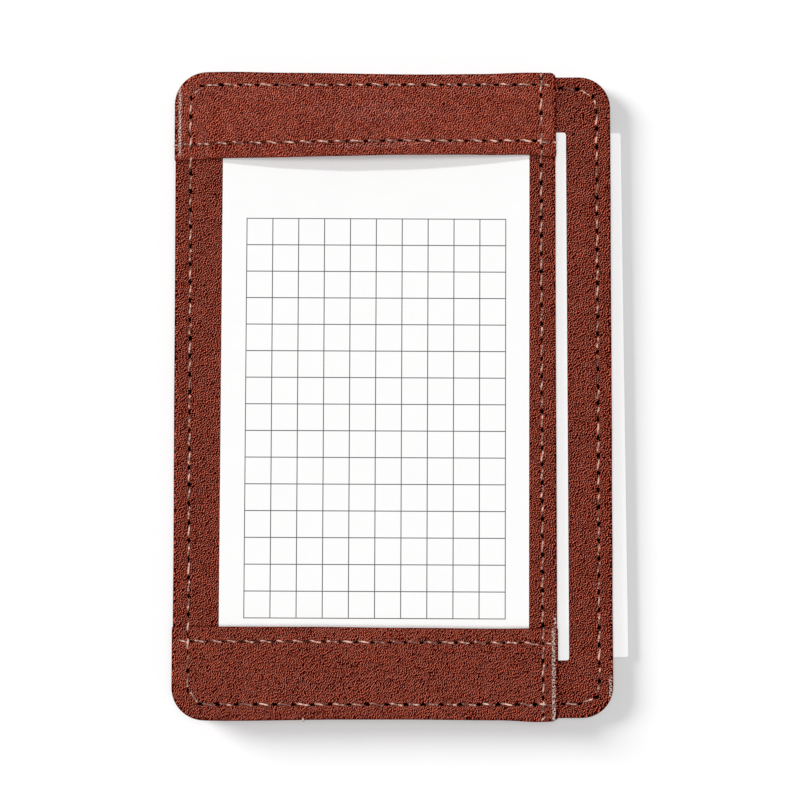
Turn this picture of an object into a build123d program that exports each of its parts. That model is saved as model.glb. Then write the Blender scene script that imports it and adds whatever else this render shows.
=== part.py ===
from build123d import *
import math
import os

# Card jotter case, in millimetres. +Z is up from the surface that the case lies on, face up.
# +Y runs along the case towards the top band, and +X towards the mouths of its two pockets.

# Cards
card_width = 73.7
card_length = 127.0
card_thickness = 0.25
card_corner = 0.6

# Plan of the case, set out from its cards
left_strip = 11.3            # leather left of the writing card
right_strip = 6.55           # leather right of it, as far as the front pocket's mouth
panel_step = 13.6            # from there to the body's edge
end_room = 13.85             # case beyond a pocket card's end, at each end
corner_radius = 7.5
top_band_width = 20.0        # each band, from the case's end to its hem
bottom_band_width = 21.75
band_wrap = 0.2              # how far the bands stand out round the edges they wrap
turn_width = 6.0             # width of the turned-in leather margins

# Thicknesses, from the table up
leather = 0.9
turn_in = 0.4                # pared margin, and the lining that lies flush with it
body_board_thickness = 1.2
panel_board_thickness = 0.9
pocket_clear = 1.2           # room for cards in each pocket
card_slot = 0.5              # room for the writing card under the bands
top_band_lift = 2.6          # rise of each hem at its middle
bottom_band_lift = 0.25
edge_round = 0.8             # rounding of the turned leather edges

# Where the cards lie
writing_card_shift = 0.5     # towards the top band, from the case's middle
writing_card_turn = -0.25    # degrees about Z
front_card_reach = 2.8       # out of the pocket's mouth
front_card_shift = -0.1
front_card_turn = 0.1
back_card_reach = 3.25
back_card_shift = 0.2
back_card_turn = 0.5
card_rest_gap = 0.05         # writing card above the panel
pocket_card_gap = 0.25       # pocket card above what lies under it, clear of the thread
pocket_card_step = 0.45      # from one pocket card to the next

# Stitching
seam_inset = 3.5
hem_inset = 3.4
stitch_pitch = 4.3
corner_pitch = 3.1
stitch_fill = 0.78           # share of the pitch that the thread covers
thread_width = 0.4
thread_height = 0.3
groove_width = 0.9
groove_depth = 0.25
thread_seat = 0.02           # the thread rides this far off its groove's floor
step_gap = 0.5               # a row stops this far short of a step in level

# Levels
lining_top = leather + turn_in
body_bottom = lining_top + pocket_clear
board_bottom = body_bottom + turn_in
body_top = board_bottom + body_board_thickness + leather
panel_bottom = body_top + pocket_clear
panel_board_bottom = panel_bottom + turn_in
panel_board_top = panel_board_bottom + panel_board_thickness
panel_top = panel_board_top + leather
band_top = panel_top + card_slot + leather

# Edges in plan, from the case's centre
case_width = left_strip + card_width + right_strip + panel_step
case_length = card_length + 2 * end_room
case_right = case_width / 2
case_end = case_length / 2
panel_right = case_right - panel_step
top_hem = case_end - top_band_width
bottom_hem = -case_end + bottom_band_width
seam_x = case_right - seam_inset
seam_y = case_end - seam_inset
panel_row_x = panel_right - seam_inset
top_row_y = top_hem + hem_inset
bottom_row_y = bottom_hem - hem_inset
writing_card_x = left_strip - case_right + card_width / 2
front_card_x = panel_right + front_card_reach - card_width / 2
back_card_x = case_right + back_card_reach - card_width / 2

# The writing card's tunnel under the bands
tunnel_margin = 1.5
tunnel_left = writing_card_x - card_width / 2 - tunnel_margin
tunnel_right = writing_card_x + card_width / 2 + tunnel_margin
tunnel_end = seam_y - 1.0

# The origin stands under the middle of everything, cards included
back_turn = math.radians(back_card_turn)
back_card_half = card_width / 2 * math.cos(back_turn) + card_length / 2 * math.sin(back_turn)
origin_x = (back_card_x + back_card_half - case_right - band_wrap) / 2

far = 200.0                  # larger than the case, for cutting


# ---------- plan shapes ----------

def case_plan(inset=0.0):
    """The case's rounded outline, drawn in by inset, or out if it is negative."""
    return RectangleRounded(case_width - 2 * inset, case_length - 2 * inset, corner_radius - inset)


def strip_plan(x_low, x_high, y_low, y_high):
    width = x_high - x_low
    length = y_high - y_low
    return Pos((x_low + x_high) / 2, (y_low + y_high) / 2) * Rectangle(width, length)


def panel_plan(inset=0.0):
    """The writing panel's outline: the case's, cut straight along the pocket's mouth."""
    return case_plan(inset) & strip_plan(-far, panel_right - inset, -far, far)


def slab(plan, z_low, z_high):
    return Pos(0, 0, z_low) * extrude(plan, z_high - z_low, dir=(0, 0, 1))


def block(x_low, x_high, y_low, y_high, z_low, z_high):
    return slab(strip_plan(x_low, x_high, y_low, y_high), z_low, z_high)


def rounded(solid, top=True, bottom=True):
    """Round the outer edges of a leather sheet's top and bottom faces."""
    levels = solid.edges().group_by(Axis.Z)
    chosen = []
    if top:
        chosen += levels[-1]
    if bottom:
        chosen += levels[0]
    return fillet(chosen, edge_round)


# ---------- stitching ----------

def stitch(point, heading, length, z_low, pitch_angle=0.0):
    """One visible stitch: a short bar of thread lying in its groove."""
    bar = Box(length, thread_width, thread_height, align=(Align.CENTER, Align.CENTER, Align.MIN))
    return Pos(point.X, point.Y, z_low) * Rot(0, 0, heading) * Rot(0, -pitch_angle, 0) * bar


def sewn(edge, z_low, pitch=stitch_pitch):
    """A run of equal stitches along an edge, between two needle holes at its ends."""
    count = max(1, round(edge.length / pitch))
    length = edge.length / count * stitch_fill
    bars = []
    for index in range(count):
        middle = (index + 0.5) / count
        tangent = edge.tangent_at(middle)
        heading = math.degrees(math.atan2(tangent.Y, tangent.X))
        bars.append(stitch(edge.position_at(middle), heading, length, z_low))
    return bars


def line(x0, y0, x1, y1):
    return Edge.make_line((x0, y0), (x1, y1))


def corner_arc(side, end):
    """The seam's arc round one corner; side and end are the signs of X and Y there."""
    radius = corner_radius - seam_inset
    centre = (side * (case_right - corner_radius), end * (case_end - corner_radius))
    start = {(1, 1): 0, (-1, 1): 90, (-1, -1): 180, (1, -1): 270}[(side, end)]
    arc = CenterArc(centre, radius, start, 90)
    return arc.edges()[0]


def front_level(z):
    """Underside of the thread in the groove of an upward face."""
    return z - groove_depth + thread_seat


def seam_groove(z_low, z_high):
    half = groove_width / 2
    return slab(case_plan(seam_inset - half) - case_plan(seam_inset + half), z_low, z_high)


def panel_row_groove(z):
    half = groove_width / 2
    return block(panel_row_x - half, panel_row_x + half, -far, far, z - groove_depth, z + 1)


# ---------- the bands' tunnels for the writing card ----------

def lift_at(x, y, hem, lift):
    """Rise of a band's middle: none at its seams, most at the middle of its hem."""
    end = math.copysign(tunnel_end, hem)
    middle = (tunnel_left + tunnel_right) / 2
    half = (tunnel_right - tunnel_left) / 2
    return lift * (end - y) / (end - hem) * (1 - ((x - middle) / half) ** 2)


def arched_section(y, rise, z_low, z_high):
    middle = (tunnel_left + tunnel_right) / 2
    plane = Plane(origin=(0, y, 0), x_dir=(1, 0, 0), z_dir=(0, -1, 0))
    low = ThreePointArc((tunnel_left, z_low), (middle, z_low + rise), (tunnel_right, z_low))
    high = ThreePointArc((tunnel_right, z_high), (middle, z_high + rise), (tunnel_left, z_high))
    left = Line((tunnel_left, z_high), (tunnel_left, z_low))
    right = Line((tunnel_right, z_low), (tunnel_right, z_high))
    return plane * make_face(low + right + high + left)


def arched_sheet(hem, lift, y0, y1, z_low, z_high):
    """A sheet that follows a band's arch between y0 and y1."""
    middle = (tunnel_left + tunnel_right) / 2
    least = 0.01
    rises = [max(least, lift_at(middle, y, hem, lift)) for y in (y0, y1)]
    return loft([arched_section(y, rise, z_low, z_high) for y, rise in zip((y0, y1), rises)])


# ---------- leather, boards and linings ----------

def back_pocket_leather():
    """Tray that lies on the table: turned margins on three sides, open along its mouth."""
    sheet = rounded(slab(case_plan(), 0, body_bottom), top=False)
    margin = turn_width
    pocket = block(-case_right + margin, far, -case_end + margin, case_end - margin, lining_top, far)
    recess = block(-case_right + margin, case_right - margin, -case_end + margin, case_end - margin,
                   leather, far)
    return sheet - pocket - recess - seam_groove(-1, thread_height + thread_seat)


def back_pocket_lining():
    return block(-case_right + turn_width, case_right - turn_width,
                 -case_end + turn_width, case_end - turn_width, leather, lining_top)


def body_leather():
    """Sheet turned round all four edges of the body board."""
    sheet = rounded(slab(case_plan(), body_bottom, body_top))
    board = slab(case_plan(leather), board_bottom, body_top - leather)
    recess = block(-case_right + turn_width, case_right - turn_width,
                   -case_end + turn_width, case_end - turn_width, body_bottom, board_bottom)
    bare = block(panel_right, far, -far, far, body_top - groove_depth, body_top + 1)
    return sheet - board - recess - (seam_groove(body_top - groove_depth, body_top + 1) & bare)


def body_board():
    return slab(case_plan(leather), board_bottom, body_top - leather)


def body_lining():
    return block(-case_right + turn_width, case_right - turn_width,
                 -case_end + turn_width, case_end - turn_width, body_bottom, board_bottom)


def writing_panel_leather():
    """Sheet turned round the panel board, standing on the body along its three sewn margins."""
    sheet = slab(panel_plan(), body_top, panel_top)
    mouth_edges = sheet.edges().filter_by(Axis.Y).sort_by(Axis.X)[-2:]
    sheet = fillet(mouth_edges.sort_by(Axis.Z)[-1:], edge_round)
    board = slab(panel_plan(leather), panel_board_bottom, panel_board_top)
    recess = block(-case_right + turn_width, panel_right - turn_width,
                   -case_end + turn_width, case_end - turn_width, panel_bottom, panel_board_bottom)
    pocket = block(-case_right + turn_width, far, -case_end + turn_width, case_end - turn_width,
                   body_top, panel_bottom)
    seam = seam_groove(panel_top - groove_depth, panel_top + 1)
    between_bands = block(-far, far, bottom_hem, top_hem, panel_top - groove_depth, panel_top + 1)
    grooves = (seam + panel_row_groove(panel_top)) & between_bands
    return sheet - board - recess - pocket - grooves


def writing_panel_board():
    return slab(panel_plan(leather), panel_board_bottom, panel_board_top)


def writing_panel_lining():
    return block(-case_right + turn_width, panel_right - turn_width,
                 -case_end + turn_width, case_end - turn_width, panel_bottom, panel_board_bottom)


def band(hem, lift):
    """Strip wrapped over one end of the panel, with a tunnel for the writing card."""
    side = math.copysign(1, hem)
    row = hem + side * hem_inset
    end = side * tunnel_end
    reach = side * far
    cover = strip_plan(-far, panel_right + band_wrap, min(hem, reach), max(hem, reach))
    sheet = slab(case_plan(-band_wrap) & cover, body_top, band_top)
    outer = [edge for edge in sheet.edges().group_by(Axis.Z)[-1] if abs(edge.center().Y - hem) > 1]
    sheet = fillet(outer, edge_round)
    sheet -= slab(panel_plan(), body_top, panel_top)
    sheet -= block(panel_right, far, -far, far, 0, panel_bottom)
    sheet -= block(tunnel_left, tunnel_right, min(hem, end), max(hem, end), 0, far)
    sheet -= seam_groove(band_top - groove_depth, far)
    sheet -= panel_row_groove(band_top)
    half = groove_width / 2
    sheet -= block(-far, far, row - half, row + half, band_top - groove_depth, far)
    middle = arched_sheet(hem, lift, hem, end, panel_top + card_slot, band_top)
    middle -= arched_sheet(hem, lift, row - half, row + half, band_top - groove_depth, band_top + 1)
    return sheet + middle


# ---------- thread ----------

def seam_thread():
    """Perimeter seam over the bands and along the panel's left side."""
    x = -seam_x
    flat = case_end - corner_radius
    bars = []
    for side, hem, row in ((1, top_hem, top_row_y), (-1, bottom_hem, bottom_row_y)):
        level = front_level(band_top)
        bars += sewn(line(x, hem + side * step_gap, x, row), level)
        bars += sewn(line(x, row, x, side * flat), level)
        bars += sewn(corner_arc(-1, side), level, corner_pitch)
        bars += sewn(line(-case_right + corner_radius, side * seam_y, panel_row_x, side * seam_y), level)
        bars += sewn(line(panel_row_x, side * seam_y, panel_right - step_gap, side * seam_y), level)
    bars += sewn(line(x, bottom_hem + step_gap, x, top_hem - step_gap), front_level(panel_top))
    return bars


def body_edge_thread():
    """Row along the body's right strip, round both of its corners."""
    level = front_level(body_top)
    flat = case_end - corner_radius
    bars = sewn(line(seam_x, -flat, seam_x, flat), level)
    for side in (1, -1):
        start = panel_right + band_wrap + step_gap
        bars += sewn(corner_arc(1, side), level, corner_pitch)
        bars += sewn(line(start, side * seam_y, case_right - corner_radius, side * seam_y), level)
    return bars


def panel_edge_thread():
    """Row beside the front pocket's mouth, over the panel and both bands."""
    x = panel_row_x
    bars = sewn(line(x, bottom_hem + step_gap, x, top_hem - step_gap), front_level(panel_top))
    for side, hem, row in ((1, top_hem, top_row_y), (-1, bottom_hem, bottom_row_y)):
        level = front_level(band_top)
        bars += sewn(line(x, hem + side * step_gap, x, row), level)
        bars += sewn(line(x, row, x, side * seam_y), level)
        bars += sewn(line(x, side * seam_y, x, side * (case_end - step_gap)), level)
    return bars


def hem_thread(hem, lift):
    """Row along a band's hem, rising over its arched middle."""
    side = math.copysign(1, hem)
    row = hem + side * hem_inset
    level = front_level(band_top)
    bars = sewn(line(-seam_x, row, tunnel_left, row), level)
    bars += sewn(line(tunnel_right, row, panel_row_x, row), level)
    bars += sewn(line(panel_row_x, row, panel_right - step_gap, row), level)
    bars += sewn(line(-case_right + step_gap, row, -seam_x, row), level)
    edge = line(tunnel_left, row, tunnel_right, row)
    count = round(edge.length / stitch_pitch)
    reach = edge.length / count / 2
    for index in range(count):
        point = edge.position_at((index + 0.5) / count)
        low = lift_at(point.X - reach, row, hem, lift)
        high = lift_at(point.X + reach, row, hem, lift)
        slope = math.degrees(math.atan2(high - low, 2 * reach))
        bars.append(stitch(point, 0, 2 * reach * stitch_fill, level + (low + high) / 2, slope))
    return bars


def back_seam_thread():
    """Under side of the perimeter seam, flush with the back."""
    flat = case_end - corner_radius
    bars = sewn(line(-seam_x, -flat, -seam_x, flat), 0)
    for side in (1, -1):
        bars += sewn(corner_arc(-1, side), 0, corner_pitch)
        bars += sewn(line(-case_right + corner_radius, side * seam_y,
                          case_right - corner_radius, side * seam_y), 0)
    return bars


def back_pocket_edge_thread():
    """Row beside the back pocket's mouth, round both of its corners."""
    flat = case_end - corner_radius
    bars = sewn(line(seam_x, -flat, seam_x, flat), 0)
    for side in (1, -1):
        bars += sewn(corner_arc(1, side), 0, corner_pitch)
    return bars


# ---------- cards ----------

def card(x, y, turn, z_low):
    sheet = extrude(RectangleRounded(card_width, card_length, card_corner), card_thickness)
    return Pos(x, y, z_low) * Rot(0, 0, turn) * sheet


def writing_card():
    return card(writing_card_x, writing_card_shift, writing_card_turn, panel_top + card_rest_gap)


def front_card(place_in_stack):
    z_low = body_top + pocket_card_gap + place_in_stack * pocket_card_step
    return card(front_card_x, front_card_shift, front_card_turn, z_low)


def back_card(place_in_stack):
    z_low = lining_top + pocket_card_gap + place_in_stack * pocket_card_step
    return card(back_card_x, back_card_shift, back_card_turn, z_low)


# ---------- assembly ----------

def group(bars):
    return Compound(children=[bar.solid() for bar in bars])


nodes = {
    "back_pocket_leather": back_pocket_leather(),
    "back_pocket_lining": back_pocket_lining(),
    "body_leather": body_leather(),
    "body_board": body_board(),
    "body_lining": body_lining(),
    "writing_panel_leather": writing_panel_leather(),
    "writing_panel_board": writing_panel_board(),
    "writing_panel_lining": writing_panel_lining(),
    "top_band": band(top_hem, top_band_lift),
    "bottom_band": band(bottom_hem, bottom_band_lift),
    "seam_thread": group(seam_thread()),
    "body_edge_thread": group(body_edge_thread()),
    "panel_edge_thread": group(panel_edge_thread()),
    "top_hem_thread": group(hem_thread(top_hem, top_band_lift)),
    "bottom_hem_thread": group(hem_thread(bottom_hem, bottom_band_lift)),
    "back_seam_thread": group(back_seam_thread()),
    "back_pocket_edge_thread": group(back_pocket_edge_thread()),
    "writing_card": writing_card(),
    "front_card_lower": front_card(0),
    "front_card_upper": front_card(1),
    "back_card_lower": back_card(0),
    "back_card_upper": back_card(1),
}

os.makedirs("parts", exist_ok=True)
for name, shape in nodes.items():
    export_step(Pos(-origin_x, 0, 0) * shape, f"parts/{name}.step")
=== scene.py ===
import bmesh
import bpy
import math
import random
from mathutils import Matrix, Vector, noise


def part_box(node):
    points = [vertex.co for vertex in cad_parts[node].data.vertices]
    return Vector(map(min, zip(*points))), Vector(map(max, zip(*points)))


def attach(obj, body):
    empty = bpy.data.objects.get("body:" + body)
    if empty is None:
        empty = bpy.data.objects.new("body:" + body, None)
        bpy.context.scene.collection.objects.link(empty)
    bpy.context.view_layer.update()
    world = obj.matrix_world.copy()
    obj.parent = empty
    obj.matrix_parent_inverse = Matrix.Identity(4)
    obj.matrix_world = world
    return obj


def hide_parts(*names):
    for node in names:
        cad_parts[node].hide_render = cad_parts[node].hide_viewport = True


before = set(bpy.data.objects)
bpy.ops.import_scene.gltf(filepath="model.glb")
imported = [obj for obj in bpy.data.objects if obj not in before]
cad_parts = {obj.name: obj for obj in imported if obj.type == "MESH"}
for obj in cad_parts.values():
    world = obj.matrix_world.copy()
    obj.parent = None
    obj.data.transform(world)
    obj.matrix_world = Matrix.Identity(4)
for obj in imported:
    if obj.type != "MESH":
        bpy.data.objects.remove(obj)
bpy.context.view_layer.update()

MM = 0.001

# ---------- places, from the frame ----------

body_low, body_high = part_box("body_leather")
back_low, back_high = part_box("back_pocket_leather")
panel_low, panel_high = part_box("writing_panel_leather")
panel_board_low, panel_board_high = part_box("writing_panel_board")
panel_lining_low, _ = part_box("writing_panel_lining")
body_board_low, body_board_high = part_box("body_board")
back_lining_low, back_lining_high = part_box("back_pocket_lining")
card_low, card_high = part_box("writing_card")

top_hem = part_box("top_band")[0].y
bottom_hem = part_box("bottom_band")[1].y
panel_top = panel_high.z
body_top = body_high.z

# ---------- sizes the frame doesn't give ----------

corner_radius = 7.5 * MM
corner_segments = 10
leather = 0.9 * MM
edge_round = 1.05 * MM
turn_width = 6.0 * MM  # how far the leather is turned in under the sheets
margin_flat = 0.5 * MM  # a margin's foot is flat to this far from its edge
margin_round = 0.15 * MM
outline_wave = 14 * MM  # length of the slow wave in the cut edges
side_steps = 5  # round a sheet's lower edge, and again round its upper edge
near = 1e-6
hair = 1e-9

writing_card_turn = math.radians(-0.25)

band_wrap = 0.15 * MM
band_leather = 0.42 * MM  # the bands are pared thinner, and doubled at their hems
band_seat = 1.0 * MM  # top of a band above the panel where it is sewn down
band_edge_round = 1.15 * MM
fold_radius = 0.54 * MM
fold_width = 6.5 * MM
top_band_lift = 2.5 * MM
bottom_band_lift = 0.25 * MM
band_mouth_radius = band_edge_round + 0.3 * MM
band_step = 0.6 * MM  # between the points of a band's mesh
band_fine_step = 0.2 * MM  # the same where it bends
bend_before = 1.4 * MM  # the bend over an edge lies from here inside it
bend_after = 0.8 * MM  # to here past it
mouth_bend_before = 1.6 * MM
skirt_clear = 0.15 * MM
tunnel_rise = 0.5 * MM  # clearance for the card under the sewn height
tunnel_margin = 1.5 * MM
tunnel_end = 4.5 * MM  # the tunnel stops this far from the case's end
tunnel_fade = 12.6 * MM  # and starts to sink this far from it
tunnel_slope = 1.2 * MM  # half the width of its sides

# a band's face: slow and quick unevenness as height, size across and seed
band_ripples = ((0.07 * MM, 9 * MM, 3.0), (0.04 * MM, 3.5 * MM, 5.0))
roll_inset = 1.1 * MM  # the rolled end beside the pocket's mouth
roll_width = 0.45 * MM
row_dip = 0.15 * MM  # the pull of a row of stitches
row_dip_width = 0.5 * MM
row_swell = 0.06 * MM  # the leather pushed up beside it
row_swell_away = 1.2 * MM
row_swell_width = 0.6 * MM
dimple_depth = 0.12 * MM  # the pull round one needle hole
dimple_width = 0.6 * MM
dimple_reach = 2 * MM

hem_inset = 3.4 * MM
top_seam_inset = 2.85 * MM
bottom_seam_inset = 3.6 * MM
left_seam_inset = 3.8 * MM
right_seam_inset = 3.4 * MM
panel_row_inset = 3.5 * MM
stitch_pitch = 4.45 * MM
row_pitch = 4.2 * MM
top_hem_pitch = 4.06 * MM
bottom_hem_pitch = 3.97 * MM
row_end = 0.9 * MM  # a band's rows stop this far from its ends
panel_row_end = 1.0 * MM
corner_row_inset = 3.1 * MM  # the body's row at its upper corner
beside_panel = 1.4 * MM  # the body's row starts this far past the band
shared_hole = 1.5 * MM  # rows that cross within this use one hole
shortest_stitch = 1.0 * MM
thread_radius = 0.23 * MM
body_row_sunk = 0.14 * MM
panel_dip = 0.14 * MM  # threads lie this far below the panel's and the body's faces
back_dip = 0.25 * MM
hole_radius = 0.48 * MM
hole_stretch = (1.7, 0.85)  # pulled thread draws a hole out along its row
hole_taper = 0.8
hole_depth = 0.62 * MM
band_hole_depth = 0.34 * MM
through_depth = 1.0 * MM
needle_clear = 0.40 * MM
needle_sides = 12
hem_clear = 1.6 * MM  # no needle holes nearer to a hem
side_clear = 2 * MM  # nor nearer to a band's sides
on_row = 1 * MM
along_row = 0.7 * MM


# ---------- mesh helpers ----------

def set_out(name, data):
    """A mesh, curve, lamp or camera as an object in the scene."""
    thing = bpy.data.objects.new(name, data)
    bpy.context.scene.collection.objects.link(thing)
    return thing


def new_mesh(name, bm, finish):
    """A bmesh made a mesh with a finish."""
    mesh = bpy.data.meshes.new(name)
    bm.to_mesh(mesh)
    bm.free()
    mesh.materials.append(finish)
    return mesh


def new_object(name, bm, finish, smooth_angle=40):
    """Turn a bmesh into an object with a finish, smooth but for its sharp folds."""
    mesh = new_mesh(name, bm, finish)
    shade(mesh, smooth_angle)
    return set_out(name, mesh)


def shade(mesh, smooth_angle):
    """Smooth over all but the folds that are sharper than the angle."""
    for polygon in mesh.polygons:
        polygon.use_smooth = True
    mesh.set_sharp_from_angle(angle=math.radians(smooth_angle))


def settle(piece, smooth_angle=40):
    """Fix a piece's modifiers into its mesh."""
    depsgraph = bpy.context.evaluated_depsgraph_get()
    settled = bpy.data.meshes.new_from_object(piece.evaluated_get(depsgraph))
    old = piece.data
    piece.modifiers.clear()
    piece.data = settled
    bpy.data.meshes.remove(old)
    settled.name = piece.name
    shade(settled, smooth_angle)
    return piece


def ramp(value, start, end):
    """0 before start, 1 after end, smooth between."""
    share = min(1.0, max(0.0, (value - start) / (end - start)))
    return share * share * (3 - 2 * share)


def hump(distance, width):
    """1 at no distance, falling softly to 0 well past the width."""
    return math.exp(-(distance / width) ** 2)


def ripple(x, y, size, seed):
    """Soft unevenness between -1 and 1, over about the given size."""
    return noise.noise(Vector((x / size, y / size, seed)))


# ---------- leather sheets turned round a board ----------

class Plan:
    """A rectangle in plan, each corner with its own radius, in the order of its corners."""

    def __init__(self, low, high, left_radius, right_radius):
        self.low = low
        self.high = high
        self.corners = []
        for side, radius in ((-1, left_radius), (1, right_radius)):
            for end in (-1, 1):
                x = (high.x if side > 0 else low.x) - side * radius
                y = (high.y if end > 0 else low.y) - end * radius
                self.corners.append((side, end, Vector((x, y)), radius))

    def mesh(self, step):
        """One flat face with round corners and extra points along its straight sides."""
        bm = bmesh.new()
        bmesh.ops.create_grid(bm, x_segments=1, y_segments=1, size=0.5)
        size = self.high - self.low
        centre = (self.high + self.low) / 2
        bmesh.ops.scale(bm, vec=(size.x, size.y, 1), verts=bm.verts)
        bmesh.ops.translate(bm, vec=(centre.x, centre.y, 0), verts=bm.verts)
        for side, end, corner, radius in self.corners:
            if radius:
                tip = Vector((corner.x + side * radius, corner.y + end * radius, 0))
                vert = min(bm.verts, key=lambda v: (v.co - tip).length)
                bmesh.ops.bevel(bm, geom=[vert], offset=radius, segments=corner_segments, profile=0.5,
                                affect="VERTICES", material=-1)
        straight_sides = [edge for edge in bm.edges if edge.calc_length() > 3 * step]
        for edge in straight_sides:
            cuts = round(edge.calc_length() / step) - 1
            bmesh.ops.subdivide_edges(bm, edges=[edge], cuts=cuts)
        return bm

    def moved(self, point, inset):
        """Where a point of the outline lies once the outline is drawn in."""
        for side, end, corner, radius in self.corners:
            over_x = (point.x - corner.x) * side
            over_y = (point.y - corner.y) * end
            if over_x > -near and over_y > -near:
                if not radius:
                    return Vector((point.x - side * inset, point.y - end * inset))
                outward = (Vector((point.x, point.y)) - corner).normalized()
                return corner + outward * (radius - inset)
        centre = (self.low + self.high) / 2
        if abs(point.x - self.low.x) < near or abs(point.x - self.high.x) < near:
            side = 1 if point.x > centre.x else -1
            y = centre.y + (point.y - centre.y) * self.shrink(side, inset, 1)
            return Vector((point.x - side * inset, y))
        end = 1 if point.y > centre.y else -1
        left = self.corners[0][2].x
        x = left + (point.x - left) * self.shrink(end, inset, 0)
        return Vector((x, point.y - end * inset))

    def shrink(self, side, inset, axis):
        """How much a straight side shortens between square corners as it is drawn in."""
        corner, radius = self.corners[2 if axis == 0 or side > 0 else 0][2:]
        if radius:
            return 1.0
        if axis:
            half = (self.high.y - self.low.y) / 2
            return (half - inset) / half
        length = self.high.x - self.corners[0][2].x
        return (length - inset) / length


def turned_sheet(name, plan, rings, finish, waviness=0.06 * MM, step=2.5 * MM):
    """Closed sheet whose section is the list of rings: how far in from the outline, and how high.

    A ring's inset or height may be a function of the point of the outline.
    """
    bm = plan.mesh(step)
    face = bm.faces[:][0]
    starts = [vert.co.copy() for vert in face.verts]

    def place(verts, ring):
        inset, height = ring
        for vert, start in zip(verts, starts):
            in_by = inset(start) if callable(inset) else inset
            z = height(start) if callable(height) else height
            in_by += waviness * ripple(start.x, start.y, outline_wave, z / MM)
            flat = plan.moved(start, in_by)
            vert.co = (flat.x, flat.y, z)

    place(face.verts, rings[0])
    for ring in rings[1:]:
        result = bmesh.ops.extrude_discrete_faces(bm, faces=[face])
        face = result["faces"][0]
        place(face.verts, ring)
    open_edges = [edge for edge in bm.edges if edge.is_boundary]
    bmesh.ops.holes_fill(bm, edges=open_edges, sides=0)
    bmesh.ops.recalc_face_normals(bm, faces=bm.faces)
    return new_object(name, bm, finish)


def rounded_side(low, high, radius):
    """Rings up an outer side from its lower flat face to its upper one, both edges round."""
    rings = []
    for centre, start in ((low + radius, 180), (high - radius, 90)):
        for index in range(side_steps + 1):
            angle = math.radians(start - 90 * index / side_steps)
            out = math.sin(angle) * radius
            rings.append((radius - out, centre + math.cos(angle) * radius))
    return rings


def upper_face(height, seam, swell=0.05 * MM, dip=0.16 * MM):
    """Rings across an upper face: a soft roll at the edge, the stitched groove, then flat."""
    half = 0.55 * MM
    roll = 1.3 * MM
    slope_swell = height + swell * 0.4
    slope_dip = height - dip * 0.6
    return [
        (seam - roll, height + swell),
        (seam - half, slope_swell),
        (seam - half / 2, slope_dip),
        (seam, height - dip),
        (seam + half / 2, slope_dip),
        (seam + half, slope_swell),
        (seam + roll, height + swell),
        (seam + 2 * roll, slope_swell),
        (seam + 3.4 * MM, height),
    ]


def make_body(finish):
    plan = Plan(body_low, body_high, corner_radius, corner_radius)
    rings = [
        (leather, body_board_high.z),
        (leather, body_board_low.z),
        (turn_width, body_board_low.z),
        (turn_width, body_low.z),
    ]
    rings += rounded_side(body_low.z, body_top, edge_round)
    rings += upper_face(body_top, right_seam_inset)
    body = turned_sheet("body_cover", plan, rings, finish)
    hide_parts("body_leather")
    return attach(body, "case")


def make_panel(finish):
    """Writing panel: its sewn margins reach down to the body, and its free edge doesn't."""
    plan = Plan(panel_low, panel_high, corner_radius, 0)

    def margin_foot(point):
        mouth = point.x > panel_high.x - near and abs(point.y) < panel_high.y - turn_width
        return panel_lining_low.z if mouth else panel_low.z

    def side_from(low, share):
        return low + (panel_top - edge_round - low) * share

    rings = [
        (leather, panel_board_high.z),
        (leather, panel_board_low.z),
        (turn_width, panel_board_low.z),
        (turn_width, margin_foot),
        (margin_flat, margin_foot),
        (margin_round, lambda point: side_from(margin_foot(point), 0.1)),
        (0.0, lambda point: side_from(margin_foot(point), 0.3)),
    ]
    rings += rounded_side(panel_lining_low.z, panel_top, edge_round)[side_steps + 1:]
    rings += upper_face(panel_top, (left_seam_inset + panel_row_inset) / 2)
    panel = turned_sheet("writing_panel_cover", plan, rings, finish)
    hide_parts("writing_panel_leather")
    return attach(panel, "case")


def make_back_pocket(finish):
    """Back pocket panel, lying on its face: margins on three sides, open along its mouth."""
    plan = Plan(back_low, back_high, corner_radius, corner_radius)

    def margin_top(point):
        mouth = point.x > back_high.x - near and abs(point.y) < back_high.y - corner_radius
        return back_lining_high.z if mouth else back_high.z

    def side_from(high, share):
        return edge_round + (high - edge_round) * share

    def flipped(rings):
        return [(inset, -height) for inset, height in rings]

    rings = [
        (turn_width, back_lining_low.z),
        (turn_width, margin_top),
        (margin_flat, margin_top),
        (margin_round, lambda point: side_from(margin_top(point), 0.9)),
        (0.0, lambda point: side_from(margin_top(point), 0.6)),
    ]
    rings += flipped(rounded_side(-2 * back_high.z, 0, edge_round)[side_steps + 1:])
    rings += flipped(upper_face(0, panel_row_inset, swell=0.0, dip=back_dip))
    pocket = turned_sheet("back_pocket_cover", plan, rings, finish)
    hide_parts("back_pocket_leather")
    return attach(pocket, "case")


# ---------- the bands ----------

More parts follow.
